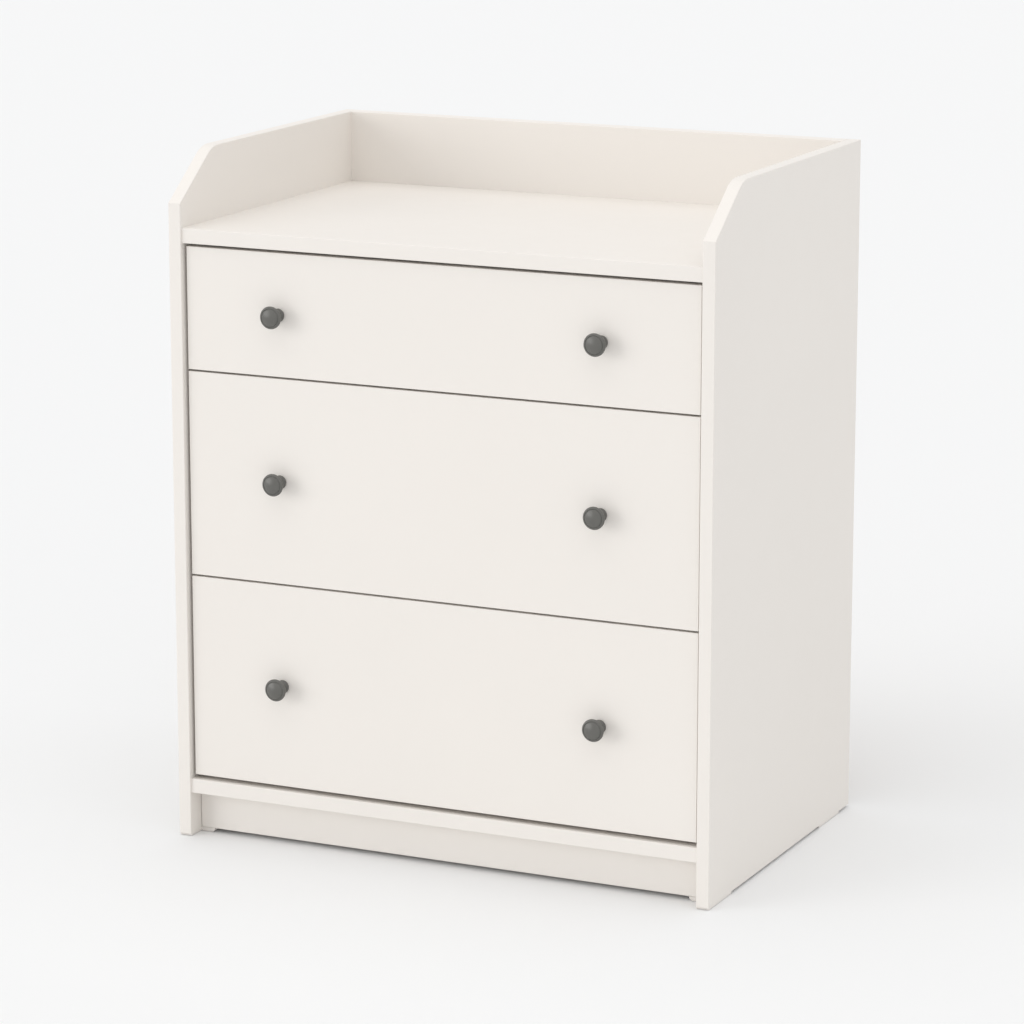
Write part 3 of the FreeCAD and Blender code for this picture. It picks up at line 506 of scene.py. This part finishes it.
def roller_pair(node, radius, body, name, material):
    """The left and right roller of a node, where that node is."""
    low, high = corners_of(node)
    y = (low.y + high.y) / 2
    z = (low.z + high.z) / 2
    ends = (low.x + ROLLER_WIDTH / 2, high.x - ROLLER_WIDTH / 2)
    wheels = gather([make_roller(radius, x, y, z) for x in ends])
    stand_for(wheels, name, node, body, material)


roller_nylon = speckled("roller_nylon", (0.80, 0.79, 0.75), 0.36, tone=0.03, tone_size=0.01)
nylon_shader = roller_nylon.node_tree.nodes["Principled BSDF"]
nylon_shader.inputs["Subsurface Weight"].default_value = 0.15
nylon_shader.inputs["Subsurface Scale"].default_value = 0.002
for drawer in DRAWERS:
    for node, radius, end in (
        (f"cabinet_rollers_{drawer}", FRONT_ROLLER_RADIUS, "front"),
        (f"{drawer}_drawer_rollers", REAR_ROLLER_RADIUS, "rear"),
    ):
        roller_pair(node, radius, f"{drawer}_{end}_rollers", f"{drawer}_{end}_wheels", roller_nylon)

# ---------------------------------------------------------------- screws, wall brackets and nails
# Zinc-plated pan-head screws hold the channels and the two steel angles that tie the chest to a wall.
# Nails with flat heads hold the back panel.

SCREW_RADIUS = 1.75
SCREW_LENGTH = 13.0
SCREW_TIP = 1.0
SCREW_HEAD_RADIUS = 3.4
SCREW_HEAD_HEIGHT = 1.6
CHANNEL_WALL = 1.2
CHANNEL_SCREW_INSET = 60.0  # from the channel's ends
BRACKET_WALL = 2.0
BRACKET_MIDDLE = 200.0
BRACKET_SCREW_PITCH = 22.0
BRACKET_SCREW_Y = 216.0


def make_screw(point, direction, radius, length, head_radius, head_height):
    """A pan-head screw with a cross slot; `point` is the top of its head, which looks along `direction`."""
    top = length + head_height
    profile = (
        (0.0, 0.0, 0),
        (0.0, radius * 0.5, 0),
        (SCREW_TIP, radius, 0),
        (length, radius, 0.1),
        (length, head_radius, 0.25),
        (length + head_height * 0.45, head_radius, 0.5),
        (top, head_radius * 0.78, 0.25),
        (top, head_radius * 0.62, 0),
    )
    bm = turn_profile(profile, steps=32)
    close_with_cross(bm, top, head_radius * 0.5, head_height * 0.8)
    set_in_place(bm, Vector(point) - Vector(direction) * top, direction)
    return bm


def small_screw(point, direction):
    """A screw of the size that holds the channels and brackets."""
    return make_screw(point, direction, SCREW_RADIUS, SCREW_LENGTH, SCREW_HEAD_RADIUS, SCREW_HEAD_HEIGHT)


def channel_screws(drawer, side):
    """The two screws of one channel; `side` is 1 on the right and -1 on the left."""
    low, high = corners_of(f"cabinet_runner_{drawer}_right")
    x = side * (high.x - CHANNEL_WALL - SCREW_HEAD_HEIGHT)
    z = (low.z + high.z) / 2
    ends = (low.y + CHANNEL_SCREW_INSET, high.y - CHANNEL_SCREW_INSET)
    return [small_screw((x, y, z), (-side, 0, 0)) for y in ends]


def bracket_screws(side):
    """The two screws that hold one wall bracket under the top panel."""
    z = corners_of("wall_brackets")[1].z - BRACKET_WALL - SCREW_HEAD_HEIGHT
    offsets = (-BRACKET_SCREW_PITCH / 2, BRACKET_SCREW_PITCH / 2)
    return [small_screw((side * (BRACKET_MIDDLE + x), BRACKET_SCREW_Y, z), (0, 0, -1)) for x in offsets]


screws = []
for side in (1, -1):
    for drawer in DRAWERS:
        screws += channel_screws(drawer, side)
    screws += bracket_screws(side)
stand_for(gather(screws), "carcass_screws_turned", "carcass_screws", "carcass", zinc_plate)
dress(zinc_plate, "wall_brackets", "back_nails")

# ---------------------------------------------------------------- drawer boxes
# Box sides and backs are thin boards in white foil, dowelled together. The bottom is a 3 mm hardboard
# sheet in grooves, printed white on the upper side and raw below.

box_foil = speckled("box_foil", (0.83, 0.80, 0.765), 0.52, tone=0.015)
box_bottom = hardboard("box_bottom", (0, 0, 1), ("X", "Y"))
for drawer in DRAWERS:
    dress(box_foil, f"{drawer}_drawer_side_left", f"{drawer}_drawer_side_right", f"{drawer}_drawer_back")
    dress(box_bottom, f"{drawer}_drawer_bottom")

# ---------------------------------------------------------------- drawer fronts
# 18 mm boards in the same off-white foil as the carcass, with crisp edges. The drawer box is dowelled to
# them from behind.

dress(board_foil, *[f"{drawer}_drawer_front" for drawer in DRAWERS])

# ---------------------------------------------------------------- knobs and their screws
# Turned beech knobs in dark warm-grey lacquer: a small foot, a waisted neck and a wide head whose slightly
# domed face has a fine turned ring. A screw through the drawer front holds each one.

KNOB_PROFILE = (  # distance from the drawer front, radius, rounding
    (0.0, 0.0, 0),
    (0.0, 8.2, 0.15),
    (2.2, 8.2, 0.9),
    (4.6, 6.1, 1.5),
    (12.0, 5.7, 3.0),
    (17.8, 13.6, 1.0),
    (20.2, 13.6, 0.9),
    (21.6, 11.4, 0.25),
    (20.9, 10.85, 0.2),
    (21.9, 10.2, 0.5),
    (23.9, 5.6, 3.0),
    (24.5, 0.0, 0),
)
KNOB_SCREW_RADIUS = 2.0
KNOB_SCREW_HEAD_RADIUS = 4.0
KNOB_SCREW_HEAD_HEIGHT = 2.4


def make_knob(name, node, drawer, material):
    """One knob, where its CAD node is."""
    low, high = corners_of(node)
    bm = turn_profile(KNOB_PROFILE, steps=96)
    set_in_place(bm, ((low.x + high.x) / 2, high.y, (low.z + high.z) / 2), (0, -1, 0))
    stand_for(bm, name, node, f"{drawer}_drawer", material, crease=50)


def make_knob_screws(name, node, drawer, material):
    """The two screws of a drawer's knobs; their heads look into the drawer."""
    low, high = corners_of(node)
    z = (low.z + high.z) / 2
    length = high.y - low.y - KNOB_SCREW_HEAD_HEIGHT
    sizes = (KNOB_SCREW_RADIUS, length, KNOB_SCREW_HEAD_RADIUS, KNOB_SCREW_HEAD_HEIGHT)
    places = (low.x + KNOB_SCREW_HEAD_RADIUS, high.x - KNOB_SCREW_HEAD_RADIUS)
    pair = gather([make_screw((x, high.y, z), (0, 1, 0), *sizes) for x in places])
    stand_for(pair, name, node, f"{drawer}_drawer", material)


knob_lacquer = speckled(
    "knob_lacquer", (0.121, 0.119, 0.109), 0.32, tone=0.06, tone_size=0.01, grain_size=0.0006
)
for drawer in DRAWERS:
    for side in ("left", "right"):
        make_knob(f"{drawer}_knob_{side}_turned", f"{drawer}_drawer_knob_{side}", drawer, knob_lacquer)
    make_knob_screws(f"{drawer}_knob_screws_turned", f"{drawer}_drawer_knob_screws", drawer, zinc_plate)

# ---------------------------------------------------------------- studio
# A pale paper floor, a white room and three soft lamps. The camera looks down from the right, at the
# photograph's angle.

FLOOR_SIZE = 200
FLOOR_WHITE = (0.868, 0.874, 0.880)
ROOM_LIGHT = 0.68  # what the room gives the chest
ROOM_SHOWN = 0.92  # how bright it looks
LAMP_WHITE = (1.0, 0.992, 0.981)
LENS = 143.286
SENSOR_WIDTH = 36
CAMERA_PLACE = (2.04766, -4.38176, 1.48796)
LOOKS_DOWN = 12.748
LOOKS_LEFT = 25.093


def lay_floor():
    """A sheet of matt paper under the chest."""
    paper, _, _ = start_material("floor_paper", FLOOR_WHITE, 0.9)
    bpy.ops.mesh.primitive_plane_add(size=FLOOR_SIZE)
    floor = bpy.context.object
    floor.name = "floor"
    floor.data.materials.append(paper)


def light_room(strength, shown):
    """An even white room: `strength` lights the chest, `shown` is what the camera and gloss see."""
    room = bpy.data.worlds.new("studio")
    room.use_nodes = True
    tree = room.node_tree
    background = tree.nodes["Background"]
    background.inputs["Color"].default_value = (1, 1, 1, 1)
    path = add_node(tree, "ShaderNodeLightPath")
    seen = path.outputs["Is Camera Ray"]
    for ray in ("Is Glossy Ray", "Is Transmission Ray"):
        either = add_node(tree, "ShaderNodeMath", {"operation": "MAXIMUM"})
        tree.links.new(seen, either.inputs[0])
        tree.links.new(path.outputs[ray], either.inputs[1])
        seen = either.outputs["Value"]
    level = add_node(tree, "ShaderNodeMapRange", To_Min=strength, To_Max=shown)
    tree.links.new(seen, level.inputs["Value"])
    tree.links.new(level.outputs["Result"], background.inputs["Strength"])
    bpy.context.scene.world = room


def add_sun(name, azimuth, elevation, strength, width):
    """A soft lamp far away; azimuth 0 shines from the front, 90 from the chest's right side."""
    lamp = bpy.data.lights.new(name, "SUN")
    lamp.energy = strength
    lamp.color = LAMP_WHITE
    lamp.angle = math.radians(width)
    sun = bpy.data.objects.new(name, lamp)
    turn, rise = math.radians(azimuth), math.radians(elevation)
    toward = Vector((math.sin(turn) * math.cos(rise), -math.cos(turn) * math.cos(rise), math.sin(rise)))
    sun.rotation_euler = (-toward).to_track_quat("-Z", "Y").to_euler()
    bpy.context.scene.collection.objects.link(sun)


def set_camera():
    """The camera of the photograph, without its lens shift."""
    lens = bpy.data.cameras.new("camera")
    lens.lens = LENS
    lens.sensor_width = SENSOR_WIDTH
    lens.clip_end = FLOOR_SIZE
    camera = bpy.data.objects.new("camera", lens)
    camera.location = CAMERA_PLACE
    camera.rotation_euler = (math.radians(90 - LOOKS_DOWN), 0, math.radians(LOOKS_LEFT))
    bpy.context.scene.collection.objects.link(camera)
    bpy.context.scene.camera = camera


lay_floor()
light_room(ROOM_LIGHT, ROOM_SHOWN)
add_sun("key", -45, 9, strength=0.92, width=40)
add_sun("side", 66, 27, strength=0.32, width=90)
add_sun("top", 0, 88, strength=0.88, width=70)
set_camera()
bpy.context.scene.view_settings.view_transform = "Standard"
